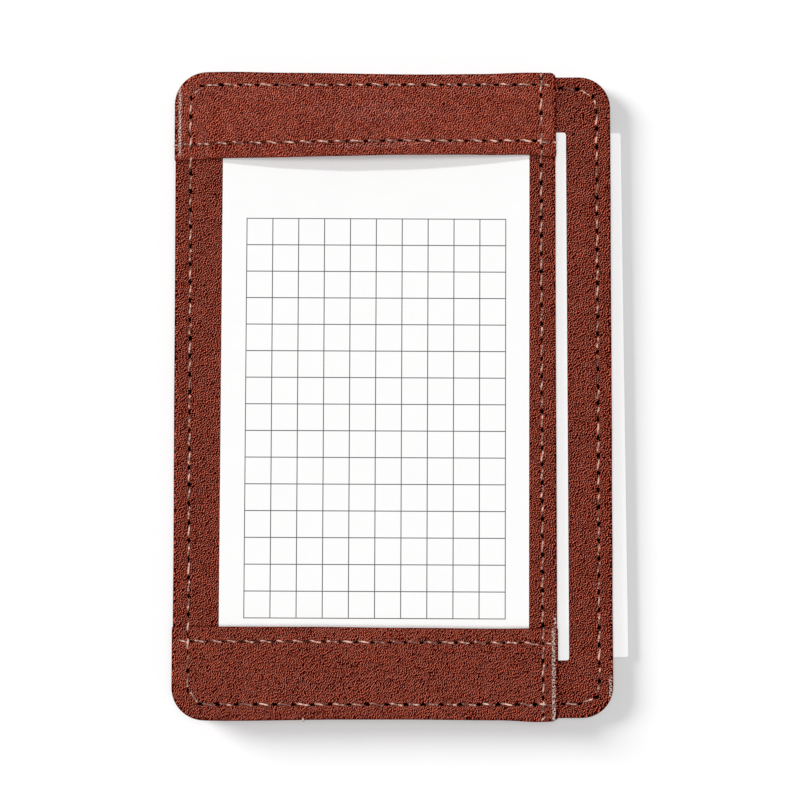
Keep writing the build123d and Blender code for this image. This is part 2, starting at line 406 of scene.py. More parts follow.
class Band:
    """A strip wrapped over one end of the panel. Its way runs from the hem to the outer end."""

    def __init__(self, name, hem, side, end, lift, seam_inset, end_roll, hem_bow, end_bow):
        self.name, self.hem, self.side, self.lift = name, hem, side, lift
        self.seam_inset, self.end_roll = seam_inset, end_roll
        self.hem_bow, self.end_bow = hem_bow, end_bow
        self.left = body_low.x - band_wrap
        self.right = panel_high.x + band_wrap
        self.length = (end - hem) * side + band_wrap
        self.tunnel_left = card_low.x - tunnel_margin
        self.tunnel_right = card_high.x + tunnel_margin
        self.tunnel_length = (end - hem) * side - tunnel_end
        self.dimples = []

    def way(self, y):
        return (y - self.hem) * self.side

    def covers(self, x, y):
        return self.way(y) > self.shift(x, 0) and x < self.right

    def shift(self, x, way):
        """How far the leather is drawn off its straight run: by the hem's bow, then by the end's."""
        share = (x - self.left) / (self.right - self.left)
        fade = min(1.0, max(0.0, 1 - way / self.length))
        return self.hem_bow(share) * fade * fade + self.end_bow(share) * (1 - fade) ** 3

    def rise(self, x, way):
        """Height of the band's outer face over the panel, where it isn't wrapped down."""
        inner = ramp(x, self.tunnel_left - tunnel_slope, self.tunnel_left + tunnel_slope)
        inner *= 1 - ramp(x, self.tunnel_right - tunnel_slope, self.tunnel_right + tunnel_slope)
        along = 1 - ramp(way, self.length - tunnel_fade, self.tunnel_length)
        height = band_seat + tunnel_rise * inner * along
        half = (self.tunnel_right - self.tunnel_left) / 2
        across = (x - self.tunnel_left - half) / half
        if abs(across) < 1:
            free = max(0.0, 1 - max(0.0, way) / self.tunnel_length)
            height += self.lift * free ** 1.4 * (1 - across * across) ** 1.2
        y = self.hem + way * self.side
        height += sum(depth * ripple(x, y, size, seed) for depth, size, seed in band_ripples)
        height += self.end_roll * hump(x - panel_high.x + roll_inset, roll_width)
        for distance in self.row_distances(x, way):
            height -= row_dip * hump(distance, row_dip_width)
            height += row_swell * hump(distance - row_swell_away, row_swell_width)
        for spot in self.dimples:
            square = (x - spot.x) ** 2 + (y - spot.y) ** 2
            if square < dimple_reach ** 2:
                height -= dimple_depth * math.exp(-square / dimple_width ** 2)
        return height

    def row_distances(self, x, way):
        """Distances to the hem row, the panel's edge row and the case's seam."""
        yield abs(way - hem_inset - self.shift(x, hem_inset))
        yield abs(x - panel_high.x + panel_row_inset)
        in_x = x - body_low.x
        in_way = self.length - band_wrap - way
        if in_x < corner_radius and in_way < corner_radius:
            over = Vector((corner_radius - in_x, corner_radius - in_way))
            share = math.atan2(over.y, over.x) / (math.pi / 2)
            inset = left_seam_inset + (self.seam_inset - left_seam_inset) * share
            yield abs(corner_radius - over.length - inset)
        elif in_x < in_way:
            yield abs(in_x - left_seam_inset)
        else:
            yield abs(in_way - self.seam_inset)

    def wrapped(self, a, b):
        """Point and outward direction of the outer face, for a place on the unrolled strip."""
        outer_left = self.left + corner_radius + band_wrap
        if a < (self.left + self.right) / 2:
            over_side, radius, turn = outer_left - a, corner_radius + band_wrap, -1
        else:
            over_side, radius, turn = a - (self.right - band_mouth_radius), band_mouth_radius, 1
        over_end = b - (self.length - radius)
        past = max(over_side, over_end, 0.0)
        if over_side > 0 and over_end > 0:
            across = Vector((turn * over_side, over_end)).normalized()
        elif over_side > over_end:
            across = Vector((turn, 0))
        else:
            across = Vector((0, 1))
        bend = past - (radius - band_edge_round)
        if bend <= 0:
            x, way = a, b
            if over_side > 0 and over_end > 0:
                x = self.corner_x(turn, radius) + across.x * past
                way = self.length - radius + across.y * past
            return x, way, 0.0, Vector((0, 0, 1))
        angle = min(bend / band_edge_round, math.pi / 2)
        out = math.sin(angle) * band_edge_round
        drop = (1 - math.cos(angle)) * band_edge_round
        drop += max(0.0, bend - band_edge_round * math.pi / 2)
        reach = radius - band_edge_round + out
        x, way = a, b
        if over_side > 0:
            x = self.corner_x(turn, radius) + across.x * reach
        if over_end > 0:
            way = self.length - radius + across.y * reach
        normal = Vector((across.x * math.sin(angle), across.y * math.sin(angle), math.cos(angle)))
        return x, way, drop, normal

    def corner_x(self, turn, radius):
        return (self.right if turn > 0 else self.left) - turn * radius

    def point(self, a, b):
        """Place on the unrolled strip to a point in space; b below the fold's start goes under."""
        fold = 0.0
        flat = b
        if b < fold_radius:
            angle = min((fold_radius - b) / fold_radius, math.pi)
            flat = fold_radius - math.sin(angle) * fold_radius
            fold = (1 - math.cos(angle)) * fold_radius
            flat += max(0.0, fold_radius - b - math.pi * fold_radius)
        x, way, drop, normal = self.wrapped(a, flat)
        y = self.hem + self.side * (way + self.shift(x, way))
        z = panel_top + self.rise(x, way) - drop
        outward = Vector((normal.x, normal.y * self.side, normal.z))
        return Vector((x, y, z)) - outward * fold

    def top(self, x, y):
        return panel_top + self.rise(x, self.way(y))

    def make(self, finish):
        skirt = panel_top + band_seat - body_top - skirt_clear
        mouth_skirt = panel_top + band_seat - panel_lining_low.z
        spare = band_edge_round * (math.pi / 2 - 2)
        fold_start = fold_radius - math.pi * fold_radius
        rows = stations(fold_start - fold_width, self.length + spare + skirt,
                        ((fold_start, fold_radius),
                         (self.length - bend_before, self.length + bend_after)))
        columns = stations(self.left - spare - skirt, self.right + spare + mouth_skirt,
                           ((self.left - bend_after, self.left + bend_before),
                            (self.right - mouth_bend_before, self.right + bend_after)))
        bm = bmesh.new()
        bmesh.ops.create_grid(bm, x_segments=len(columns) - 1, y_segments=len(rows) - 1, size=0.5)
        for vert in bm.verts:
            a = columns[round((vert.co.x + 0.5) * (len(columns) - 1))]
            b = rows[round((vert.co.y + 0.5) * (len(rows) - 1))]
            vert.co = self.point(a, b)
        if self.side < 0:
            bmesh.ops.reverse_faces(bm, faces=bm.faces)
        band = new_object(self.name + "_cover", bm, finish)
        walls = band.modifiers.new("thickness", "SOLIDIFY")
        walls.thickness = band_leather
        walls.offset = -1
        settle(band, 50)
        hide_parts(self.name)
        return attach(band, "case")


def stations(low, high, fine_zones):
    """Places from low to high, close together in the fine zones."""
    places = [low]
    while places[-1] < high - 0.3 * band_fine_step:
        here = places[-1] + hair
        fine = any(start <= here < end for start, end in fine_zones)
        after = places[-1] + (band_fine_step if fine else band_step)
        for start, end in fine_zones:
            for edge in (start, end):
                if here < edge < after:
                    after = edge
        places.append(min(after, high))
    return places


def bowed(knots):
    """A gently bowed line through knots of share and offset in millimetres."""
    def offset(share):
        for (start, low), (end, high) in zip(knots, knots[1:]):
            if share <= end:
                return (low + (high - low) * ramp(share, start, end)) * MM
        return knots[-1][1] * MM
    return offset


# offsets of each band's hem and outer end, from its left end to its right
top_hem_bow = bowed(((0.0, -1.3), (0.13, -0.70), (0.27, -0.74), (0.42, -0.56), (0.6, -0.27),
                     (0.8, -0.10), (0.93, 0.10), (1.0, -0.35)))
bottom_hem_bow = bowed(((0.0, -0.25), (0.35, -0.2), (0.6, 0.05), (0.85, 0.25), (1.0, 0.1)))
top_end_bow = bowed(((0.0, 0.1), (0.15, 0.35), (0.3, 0.12), (0.65, -0.3), (0.8, -0.2),
                     (0.93, 0.15), (1.0, 0.1)))
bottom_end_bow = bowed(((0.0, 0.0), (0.15, 0.2), (0.45, -0.1), (0.6, -0.1), (0.85, 0.1),
                        (0.95, 0.5), (1.0, 0.3)))

top_band = Band("top_band", top_hem, 1, body_high.y, top_band_lift, top_seam_inset,
                end_roll=0.05 * MM, hem_bow=top_hem_bow, end_bow=top_end_bow)
bottom_band = Band("bottom_band", bottom_hem, -1, body_low.y, bottom_band_lift, bottom_seam_inset,
                   end_roll=0.22 * MM, hem_bow=bottom_hem_bow, end_bow=bottom_end_bow)


# ---------- needle holes and stitches ----------

chance = random.Random(7)
front_holes = []
back_holes = []


def share_hole(point, pierced):
    """Rows that cross use the same hole there."""
    for hole in pierced:
        if (hole - point).length < shared_hole:
            return hole
    pierced.append(point)
    return point


def needle_row(pierced, path, pitch, spread=0.06):
    """The needle holes of a row of stitches in order, a little unevenly spaced along its path."""
    row = []
    lengths = [(b - a).length for a, b in zip(path, path[1:])]
    count = round(sum(lengths) / pitch)
    for index in range(count + 1):
        away = sum(lengths) * index / count
        if 0 < index < count:
            away += pitch * spread * chance.uniform(-1, 1)
        for start, end, length in zip(path, path[1:], lengths):
            if away <= length + hair:
                break
            away -= length
        row.append(share_hole(start.lerp(end, min(away / length, 1.0)), pierced))
    return row


def arc(x, y, start_radius, end_radius, start, end, steps=12):
    """Points round a corner whose radius changes evenly from one end to the other."""
    points = []
    for index in range(steps + 1):
        share = index / steps
        angle = math.radians(start + (end - start) * share)
        radius = start_radius + (end_radius - start_radius) * share
        points.append(Vector((x + radius * math.cos(angle), y + radius * math.sin(angle))))
    return points


left_centre = body_low.x + corner_radius
right_centre = body_high.x - corner_radius
high_centre = body_high.y - corner_radius
low_centre = body_low.y + corner_radius
top_y = body_high.y - top_seam_inset
bottom_y = body_low.y + bottom_seam_inset
left_x = body_low.x + left_seam_inset
right_x = body_high.x - right_seam_inset
mouth_x = panel_high.x - panel_row_inset
band_end_x = panel_high.x - row_end
beside_x = panel_high.x + band_wrap + beside_panel
top_in = corner_radius - top_seam_inset
left_in = corner_radius - left_seam_inset
bottom_in = corner_radius - bottom_seam_inset
body_top_in = corner_radius - corner_row_inset
right_in = corner_radius - right_seam_inset
back_in = corner_radius - panel_row_inset


def hem_path(band, steps=40):
    """The line of a band's hem row, which follows its bow."""
    points = []
    start_x = body_low.x + row_end
    for index in range(steps + 1):
        x = start_x + (band_end_x - start_x) * index / steps
        points.append(Vector((x, band.hem + band.side * (hem_inset + band.shift(x, hem_inset)))))
    return points


panel_edge_row = needle_row(
    front_holes,
    [Vector((mouth_x, body_low.y + panel_row_end)), Vector((mouth_x, body_high.y - panel_row_end))],
    row_pitch)
case_row = needle_row(
    front_holes,
    [Vector((band_end_x, top_y)), Vector((left_centre, top_y))]
    + arc(left_centre, high_centre, top_in, left_in, 90, 180)
    + arc(left_centre, low_centre, left_in, bottom_in, 180, 270)
    + [Vector((band_end_x, bottom_y))], stitch_pitch)
top_hem_row = needle_row(front_holes, hem_path(top_band), top_hem_pitch)
bottom_hem_row = needle_row(front_holes, hem_path(bottom_band), bottom_hem_pitch)
body_row = needle_row(
    front_holes,
    [Vector((beside_x, top_y))]
    + arc(right_centre, high_centre, body_top_in, right_in, 90, 0)
    + arc(right_centre, low_centre, right_in, right_in, 0, -90)
    + [Vector((beside_x, body_low.y + right_seam_inset))], row_pitch)
back_row = needle_row(
    back_holes,
    [Vector((right_centre, body_high.y - panel_row_inset))]
    + arc(left_centre, high_centre, back_in, back_in, 90, 180)
    + arc(left_centre, low_centre, back_in, back_in, 180, 270)
    + [Vector((right_centre, body_low.y + panel_row_inset))], stitch_pitch)
back_mouth_row = needle_row(
    back_holes,
    arc(right_centre, high_centre, back_in, back_in, 90, 0)
    + arc(right_centre, low_centre, back_in, back_in, 0, -90), row_pitch)
rows_along_y = (left_x, right_x, mouth_x, body_low.x + panel_row_inset, body_high.x - panel_row_inset)


def drawn_along(hole):
    """How much a hole is drawn out along X and along Y."""
    if min(abs(hole.x - x) for x in rows_along_y) < along_row:
        return hole_stretch[::-1]
    return hole_stretch


def cut_holes(piece, holes, height, side=1, smooth_angle=40, depth=hole_depth):
    """Real needle holes, narrower inside the leather."""
    bm = bmesh.new()
    needle_chance = random.Random(len(holes))
    for hole in holes:
        middle = height(hole.x, hole.y) - side * (depth - needle_clear) / 2
        wide = hole_radius * needle_chance.uniform(0.8, 1.12)
        narrow = wide * hole_taper
        lower, upper = (narrow, wide) if side > 0 else (wide, narrow)
        place = (Matrix.Translation((hole.x, hole.y, middle))
                 @ Matrix.Diagonal((*drawn_along(hole), 1, 1)))
        bmesh.ops.create_cone(bm, cap_ends=True, segments=needle_sides, radius1=lower, radius2=upper,
                              depth=depth + needle_clear, matrix=place)
    # the hole walls take the near-black finish, painted shade in the holes
    mesh = new_mesh("needles", bm, painted_hole_shade)
    needles = set_out("needles", mesh)
    cut = piece.modifiers.new("needle_holes", "BOOLEAN")
    cut.operation = "DIFFERENCE"
    cut.solver = "EXACT"
    cut.use_self = True
    cut.material_mode = "TRANSFER"
    cut.object = needles
    settle(piece, smooth_angle)
    bpy.data.objects.remove(needles)
    bpy.data.meshes.remove(mesh)


# share of the way between two holes, height over the leather, and how far the thread slants
stitch_form = (
    (0.16, -0.60 * MM, 0.14 * MM),
    (0.20, 0.00 * MM, 0.18 * MM),
    (0.33, 0.25 * MM, 0.16 * MM),
    (0.67, 0.25 * MM, -0.16 * MM),
    (0.80, 0.00 * MM, -0.18 * MM),
    (0.84, -0.60 * MM, -0.14 * MM),
)

# a loose end: past its hole or past the edge, how far, and the height over the leather at the hole
loose_end_form = (
    ("hole", 0.0 * MM, -0.4 * MM),
    ("hole", 0.3 * MM, 0.1 * MM),
    ("edge", -0.5 * MM, 0.1 * MM),
    ("edge", 0.2 * MM, -0.7 * MM),
    ("edge", 0.1 * MM, -1.8 * MM),
)


def lay_thread(thread, places, thickness):
    """A length of thread through some places, thick or thin at each."""
    spline = thread.splines.new("NURBS")
    spline.points.add(len(places) - 1)
    for point, place, radius in zip(spline.points, places, thickness):
        point.co = (*place, 1)
        point.radius = radius
    spline.order_u = 3
    spline.use_endpoint_u = True


def sew(name, row, nodes, height, side=1, sunk=0.0, loose_ends=()):
    """One curve object holding every stitch of a row, pulled into the leather as far as it is sunk.

    Its loose ends run from a first flat place over an edge at the second.
    """
    thread = bpy.data.curves.new(name, "CURVE")
    thread.dimensions = "3D"
    thread.bevel_depth = thread_radius
    thread.bevel_resolution = 1
    thread.resolution_u = 2
    thread.use_fill_caps = True
    for start, end in zip(row, row[1:]):
        if (end - start).length < shortest_stitch:
            continue
        along = (end - start).normalized()
        across = Vector((-along.y, along.x)) * chance.uniform(0.5, 1.3)
        places = []
        for share, over, slant in stitch_form:
            flat = start.lerp(end, share) + across * slant
            places.append((flat.x, flat.y, height(flat.x, flat.y) + side * (over - sunk)))
        lay_thread(thread, places, [chance.uniform(0.92, 1.08) for _ in places])
    for hole, edge in loose_ends:
        marks = {"hole": Vector(hole), "edge": Vector(edge)}
        out = (marks["edge"] - marks["hole"]).normalized()
        top = height(*marks["hole"])
        places = [(*(marks[mark] + out * past), top + over) for mark, past, over in loose_end_form]
        lay_thread(thread, places, [1.0] * len(places))
    thread.materials.append(thread_red)
    stitches = set_out(name, thread)
    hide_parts(*nodes)
    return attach(stitches, "case")


# ---------- finishes ----------

class Shade:
    """A number that changes over a surface, and can be reckoned with like any other."""

    def __init__(self, finish, socket):
        self.finish = finish
        self.socket = socket

    def reckon(self, operation, *values):
        return self.finish.node("Math", {"operation": operation}, dict(enumerate(values)))

    def __add__(self, other):
        return self.reckon("ADD", self, other)

    def __sub__(self, other):
        return self.reckon("SUBTRACT", self, other)

    def __rsub__(self, other):
        return self.reckon("SUBTRACT", other, self)

    def __mul__(self, other):
        return self.reckon("MULTIPLY", self, other)

    def __truediv__(self, other):
        return self.reckon("DIVIDE", self, other)

    def __mod__(self, other):
        return self.reckon("FLOORED_MODULO", self, other)

    def __abs__(self):
        return self.reckon("ABSOLUTE", self)

    def larger(self, other):
        return self.reckon("MAXIMUM", self, other)

    def between(self, low, high):
        """0 below low, 1 above high, smooth between."""
        return self.finish.node("MapRange", {"interpolation_type": "SMOOTHSTEP"},
                                {"Value": self, "From Min": low, "From Max": high})

    __radd__ = __add__
    __rmul__ = __mul__


class Finish:
    """A material built from nodes round one Principled shader."""

    def __init__(self, name, **shader):
        self.material = bpy.data.materials.new(name)
        self.material.use_nodes = True
        self.tree = self.material.node_tree
        self.shader = self.tree.nodes["Principled BSDF"]
        for socket, value in shader.items():
            self.shader.inputs[socket.replace("_", " ")].default_value = value
        self.place = self.node("TexCoord", output="Object")

    def node(self, kind, settings=None, inputs=None, output=0):
        node = self.tree.nodes.new("ShaderNode" + kind)
        for key, value in (settings or {}).items():
            if key == "stops":
                for stop in value[2:]:
                    node.color_ramp.elements.new(stop[0])
                for element, (position, colour) in zip(node.color_ramp.elements, value):
                    element.position = position
                    element.color = (*colour, 1)
            else:
                setattr(node, key, value)
        for key, value in (inputs or {}).items():
            self.join(value, node.inputs[key])
        return Shade(self, node.outputs[output])

    def join(self, value, socket):
        if isinstance(value, Shade):
            self.tree.links.new(value.socket, socket)
        else:
            socket.default_value = value

    def feed(self, **values):
        for socket, value in values.items():
            self.join(value, self.shader.inputs[socket.replace("_", " ")])

    def axes(self, place=None):
        """The x, y and z of a place, each to be reckoned with."""
        parts = self.tree.nodes.new("ShaderNodeSeparateXYZ")
        self.join(place or self.place, parts.inputs[0])
        return [Shade(self, parts.outputs[axis]) for axis in "XYZ"]

    def mottle(self, size, detail, rough, seed=0.0, stretch=(1, 1, 1)):
        """Soft noise between 0 and 1 whose lumps are about the given size."""
        shifted = self.node("Mapping", None, {"Vector": self.place, "Location": (seed, seed * 0.7, 0),
                                              "Scale": stretch})
        return self.node("TexNoise", None, {"Vector": shifted, "Scale": 1 / size, "Detail": detail,
                                            "Roughness": rough})

    def blend(self, factor, first, second):
        return self.node("Mix", {"data_type": "RGBA"},
                         {"Factor": factor, 6: first, 7: second}, output=2)

    def relief(self, height, depth):
        """Bump of a real depth in metres."""
        self.feed(Normal=self.node("Bump", None, {"Height": height, "Distance": depth, "Strength": 1.0}))


# how fast the grain spreads outwards with height, along X and Y
grain_spread = (0.9 / body_high.x, 0.8 / body_high.y)
# offset of the grain's moved copy for the painted emboss shading, each pebble lighter on one side and
# darker on the other
painted_emboss_offset = (0.17 * MM, 0.11 * MM)
# pale colour of the painted highlight along the rounded edges
painted_glint_colour = (0.85, 0.66, 0.58, 1)


def leather_finish(name, grain, relief, seed, contrast, level, slant, shine, lie, drawn_out, polish_and_glint_lines):
    """Full-grain leather: small rounded pebbles between pits, with slow changes of tone.

    The grain is drawn out along the angle of its lie. Each pebble is painted palest on its side to the left
    and away, and darker opposite, as painted emboss shading as strong as the slant. A place of polish and
    painted glint is a line along Y: its x, half its width and its two ends. There the coat is heavier and
    the colour is painted pale, a painted highlight.
    """
    finish = Finish(name, Specular_IOR_Level=0.0, Roughness=0.6, Coat_Roughness=0.3)
    x, y, z = finish.axes()

    def voronoi(feature, cells, output=0):
        return finish.node("TexVoronoi", {"feature": feature, "voronoi_dimensions": "2D"}, cells, output)

    def grain_cells(left, away):
        """The flat cells of the grain, moved by left and away; the moved copy gives the painted emboss
        shading.

        They spread outwards with height, which keeps them round on the upright sides.
        """
        flat = finish.node("CombineXYZ", None, {"X": x * (z * grain_spread[0] + 1) - left,
                                               "Y": y * (z * grain_spread[1] + 1) + away})
        turned = finish.node("Mapping", None, {"Vector": flat, "Location": (seed, seed, 0),
                                               "Rotation": (0, 0, lie)})
        drift = finish.node("TexNoise", None, {"Vector": turned, "Scale": 0.6 / grain, "Detail": 0.0},
                            "Color")
        bent = finish.node("VectorMath", {"operation": "MULTIPLY_ADD"},
                           {0: drift, 1: (0.8 * grain,) * 3, 2: turned})
        drawn = finish.node("Mapping", None, {"Vector": bent, "Scale": (1 / drawn_out, drawn_out, 1.0)})
        return {"Vector": drawn, "Scale": 1 / grain, "Randomness": 0.9}

    def grain_height(cells):
        pebbles = voronoi("F1", cells).between(0.05, 0.65)
        creases = 1 - voronoi("DISTANCE_TO_EDGE", cells).between(0.0, 0.42)
        return pebbles * 0.6 + creases * 0.4

    cells = grain_cells(0, 0)
    height = grain_height(cells)
    # painted emboss shading: the pebble height less that of the moved copy, lighter on the side to the left
    # and away
    lean = height - grain_height(grain_cells(*painted_emboss_offset))
    each_cell, _, _ = finish.axes(voronoi("F1", cells, "Color"))
    flecks = finish.node("TexNoise", None, {"Vector": cells["Vector"], "Scale": 2.2 / grain, "Detail": 1.0})
    patches = finish.mottle(8 * MM, 1.0, 0.5, seed + 3)
    clouds = finish.mottle(9 * MM, 3.0, 0.55, seed + 9)
    # the painted emboss shading goes into the tone, as strong as the slant
    tone = (height - level) * (contrast * (0.65 + patches * 0.7)) + 0.5 + lean * slant
    tone = tone + (each_cell - 0.5) * 0.55 + (flecks - 0.5) * 0.25 + (clouds - 0.5) * 0.25
    # stretched round the folded edges, the grain fades to its middle tone
    _, _, up = finish.axes(finish.node("TexCoord", output="Normal"))
    flatness = abs(up)
    middle = 0.6
    tone = (tone.between(0.0, 1.0) - middle) * (flatness.between(0.1, 0.9) * 0.55 + 0.45) + middle
    coat = tone.between(0.45, 1.0) * shine
    colour = finish.node("ValToRGB", {"stops": leather_tones}, {"Fac": tone})
    # along each line the coat is heavier, and the colour is painted pale as a highlight on the rounded edge
    for line_x, half, low, high in polish_and_glint_lines:
        beside = 1 - (abs(x - line_x) / half).between(0.3, 1.0)
        past = abs(y - (low + high) / 2) - (high - low) / 2
        gloss_and_painted_glint = beside * (1 - past.between(0.0, 2 * MM)) * height.between(0.45, 0.9)
        gloss_and_painted_glint = gloss_and_painted_glint * flatness.between(0.0, 0.4) * 0.75
        coat = coat.larger(gloss_and_painted_glint)
        colour = finish.blend(gloss_and_painted_glint, colour, painted_glint_colour)
    finish.feed(Base_Color=colour, Coat_Weight=coat)
    finish.relief(height, relief)
    return finish.material


def thread_finish():
    """Waxed reddish thread, with painted pale highlights in patches along it."""
    finish = Finish("waxed_thread", Roughness=0.45, Specular_IOR_Level=0.5, Sheen_Weight=0.15)
    strand = finish.mottle(0.28 * MM, 2.0, 0.6, 1.0)
    # patches of painted highlight along the thread
    painted_glints = finish.mottle(1.1 * MM, 1.0, 0.5, 4.0)
    tone = (strand * 0.5 + painted_glints * 0.9 - 0.2).between(0.38, 0.68)
    # dark red thread, painted pale where the strands and the painted highlights lie
    finish.feed(Base_Color=finish.blend(tone, (0.15, 0.030, 0.015, 1), (0.95, 0.58, 0.46, 1)))
    finish.relief(strand, 0.08 * MM)
    return finish.material


def woven_finish():
    """Close plain weave, dark brown."""
    finish = Finish("lining_cloth", Roughness=0.85, Specular_IOR_Level=0.2, Sheen_Weight=0.1)
    yarn = 0.42 * MM
    x, y, _ = finish.axes()
    along = abs((x / yarn) % 1 - 0.5) * 2
    across = abs((y / yarn) % 1 - 0.5) * 2
    over = abs(((x / (2 * yarn)) % 1).between(0.49, 0.51) - ((y / (2 * yarn)) % 1).between(0.49, 0.51))
    height = along * over + across * (1 - over)
    fuzz = finish.mottle(0.3 * MM, 3.0, 0.6)
    tone = (height * 0.7 + fuzz * 0.5).between(0.2, 0.95)
    finish.feed(Base_Color=finish.blend(tone, (0.020, 0.010, 0.007, 1), (0.085, 0.042, 0.028, 1)))
    finish.relief(height + fuzz * 0.3, 0.12 * MM)
    return finish.material


def board_finish():
    """Grey-brown fibre board."""
    finish = Finish("fibre_board", Roughness=0.9, Specular_IOR_Level=0.2)
    fibres = finish.mottle(0.9 * MM, 4.0, 0.65, 2.0, stretch=(0.35, 1, 1))
    flecks = finish.mottle(0.35 * MM, 2.0, 0.6, 5.0)
    tone = (fibres * 0.7 + flecks * 0.4).between(0.25, 0.85)
    finish.feed(Base_Color=finish.blend(tone, (0.11, 0.085, 0.065, 1), (0.27, 0.225, 0.18, 1)))
    finish.relief(fibres + flecks * 0.5, 0.06 * MM)
    return finish.material


ink_colour = (0.10, 0.10, 0.11, 1)


def paper(name, whiteness, print_on=None):
    """Smooth white card, faintly uneven, with any print laid over it."""
    finish = Finish(name, Roughness=0.6, Specular_IOR_Level=0.25)
    ink = print_on(finish) if print_on else None
    pulp = finish.mottle(6 * MM, 3.0, 0.6, 1.0)
    tooth = finish.mottle(0.25 * MM, 2.0, 0.6, 2.0)
    tone = (pulp * 0.6 + tooth * 0.4).between(0.2, 0.8)
    low, high = whiteness - 0.012, whiteness + 0.012
    colour = finish.blend(tone, (low, low, low - 0.003, 1), (high, high, high - 0.003, 1))
    if ink:
        colour = finish.blend(ink, colour, ink_colour)
    finish.feed(Base_Color=colour)
    finish.relief(tooth, 0.012 * MM)
    return finish.material


# the print, in millimetres: squares under a bare heading, their lines' half width and soft edge
card_half_height = 63.5
print_shift = 0.13
column, columns = 6.213, 10
line, lines = 6.372, 15
heading = 21.9
half_line, soft_line = 0.115, 0.03


def squares(finish):
    """Where the ink of the printed squares lies."""
    centre = (card_low + card_high) / 2
    place = finish.node("Mapping", {"vector_type": "TEXTURE"},
                        {"Vector": finish.place, "Location": (centre.x + print_shift * MM, centre.y, 0),
                         "Rotation": (0, 0, writing_card_turn)})
    x, y, _ = finish.axes(place)
    across = x / MM
    down = card_half_height - y / MM

    def within(distance, reach):
        return 1 - distance.between(reach + half_line - soft_line, reach + half_line + soft_line)

    side = columns * column / 2
    end = heading + lines * line
    on_column = within(abs((across + side + column / 2) % column - column / 2), 0)
    on_line = within(abs((down - heading + line / 2) % line - line / 2), 0)
    inside = within(abs(across), side)
    return on_column.larger(on_line) * inside * within(abs(down - (heading + end) / 2), (end - heading) / 2)


# ---------- the pieces ----------

# stops of the leather's tones, from deep in a furrow to the top of a pebble: the grain's own tones, with
# painted shade in the furrows and a painted highlight at the top
leather_tones = (
    (0.0, (0.018, 0.0001, 0.0001)),
    (0.30, (0.070, 0.0008, 0.0002)),
    (0.60, (0.150, 0.0056, 0.0012)),
    (0.80, (0.228, 0.0150, 0.0050)),
    (1.0, (0.700, 0.1600, 0.0950)),
)
# lines along rounded edges with a heavier coat and a painted highlight
top_polish_and_glint = ((body_low.x + 1.2 * MM, 0.5 * MM, top_hem + 1 * MM, body_high.y - 5 * MM),)
bottom_polish_and_glint = ((panel_high.x - 1.0 * MM, 0.6 * MM, body_low.y, bottom_hem),)
case_polish_and_glint = (
    (panel_high.x - 0.6 * MM, 0.45 * MM, bottom_hem - 1 * MM, bottom_hem + 1.5 * MM),
    (body_high.x - 0.7 * MM, 0.5 * MM, body_low.y + 6 * MM, body_low.y + 9 * MM),
)
case_brown = leather_finish("case_leather", grain=0.49 * MM, relief=0.12 * MM, seed=0.1, contrast=1.9,
                            level=1.02, slant=2.0, shine=0.15, lie=-0.5, drawn_out=1.1,
                            polish_and_glint_lines=case_polish_and_glint)
top_brown = leather_finish("top_band_leather", grain=0.44 * MM, relief=0.08 * MM, seed=0.5, contrast=1.1,
                           level=0.82, slant=1.2, shine=0.2, lie=0.6, drawn_out=1.3,
                           polish_and_glint_lines=top_polish_and_glint)
bottom_brown = leather_finish("bottom_band_leather", grain=0.50 * MM, relief=0.09 * MM, seed=0.7,
                              contrast=1.5, level=1.08, slant=2.1, shine=0.15, lie=-1.0, drawn_out=1.5,
                              polish_and_glint_lines=bottom_polish_and_glint)
# near-black finish for the needle holes' walls: painted shade
painted_hole_shade_finish = Finish("needle_hole", Roughness=1.0, Specular_IOR_Level=0.0)
painted_hole_shade_finish.feed(Base_Color=(0.003, 0.001, 0.0006, 1))
painted_hole_shade = painted_hole_shade_finish.material
thread_red = thread_finish()
cloth = woven_finish()
board = board_finish()
squared_card = paper("squared_card", 0.98, squares)
plain_card = paper("plain_card", 0.95)

top_band.dimples = [hole for hole in front_holes if top_band.covers(hole.x, hole.y)]
bottom_band.dimples = [hole for hole in front_holes if bottom_band.covers(hole.x, hole.y)]


def front_surface(x, y):
    """Height of the leather that a front row lies on."""
    for band in (top_band, bottom_band):
        if band.covers(x, y):
            return band.top(x, y)
    return (panel_top if x < panel_high.x + band_wrap / 2 else body_top) - panel_dip


def back_surface(x, y):
    return back_dip


body_cover = make_body(case_brown)
panel_cover = make_panel(case_brown)
back_cover = make_back_pocket(case_brown)
top_cover = top_band.make(top_brown)
bottom_cover = bottom_band.make(bottom_brown)

panel_holes = [hole for hole in front_holes if bottom_hem < hole.y < top_hem - hem_clear
               and hole.x < panel_high.x]
body_holes = [hole for hole in front_holes if hole.x > panel_high.x]
cut_holes(body_cover, body_holes, front_surface)
cut_holes(panel_cover, panel_holes, front_surface)
cut_holes(back_cover, back_holes, back_surface, -1)
for band, cover in ((top_band, top_cover), (bottom_band, bottom_cover)):
    inner = [hole for hole in band.dimples if band.way(hole.y) > hem_clear
             and band.left + side_clear < hole.x < band.right - side_clear]
    cut_holes(cover, inner, front_surface, smooth_angle=50, depth=band_hole_depth)
    sewn_through = [hole for hole in inner
                    if min(abs(hole.x - mouth_x), abs(hole.x - left_x),
                           abs(hole.y - top_y), abs(hole.y - bottom_y)) < on_row]
    cut_holes(panel_cover, sewn_through, front_surface, depth=through_depth)

